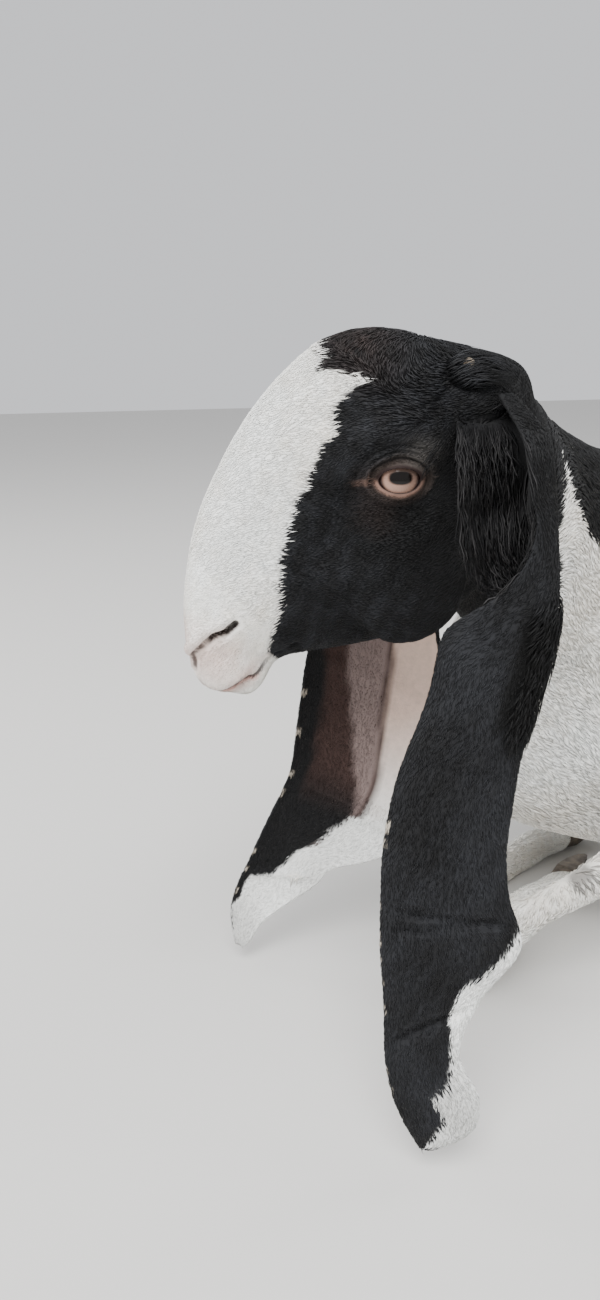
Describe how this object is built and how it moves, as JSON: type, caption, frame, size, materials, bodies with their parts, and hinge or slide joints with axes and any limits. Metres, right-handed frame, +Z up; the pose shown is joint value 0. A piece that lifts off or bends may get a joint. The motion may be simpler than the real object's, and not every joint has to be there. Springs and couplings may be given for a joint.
{
  "type": "jamunapari goat",
  "caption": "Life-size still model of a young black and white long-eared goat lying on its chest with its head raised.",
  "frame": {"origin": "on the floor, under the middle of the goat's bounding box", "axes": "+X along the trunk towards the head, +Y to the goat's left, +Z up"},
  "size_m": [0.8758, 0.3328, 0.376],
  "materials": {
    "black_coat": "short glossy black hair",
    "white_coat": "short soft white hair",
    "eye": "wet and glossy",
    "horn": "dull horn with fine ridges"
  },
  "bodies": {
    "root": {"head": "black_coat", "neck": "black_coat", "torso": "white_coat", "tail": "white_coat", "ear_left": "black_coat", "ear_right": "black_coat", "eye_left": "eye", "eye_right": "eye", "horn_left": "horn", "horn_right": "horn", "foreleg_left": "white_coat", "foreleg_right": "white_coat", "hindleg_left": "white_coat", "hindleg_right": "white_coat", "claw_fore_left_inner": "horn", "claw_fore_left_outer": "horn", "claw_fore_right_inner": "horn", "claw_fore_right_outer": "horn", "claw_hind_left_inner": "horn", "claw_hind_left_outer": "horn", "claw_hind_right_inner": "horn", "claw_hind_right_outer": "horn"}
  },
  "joints": []
}
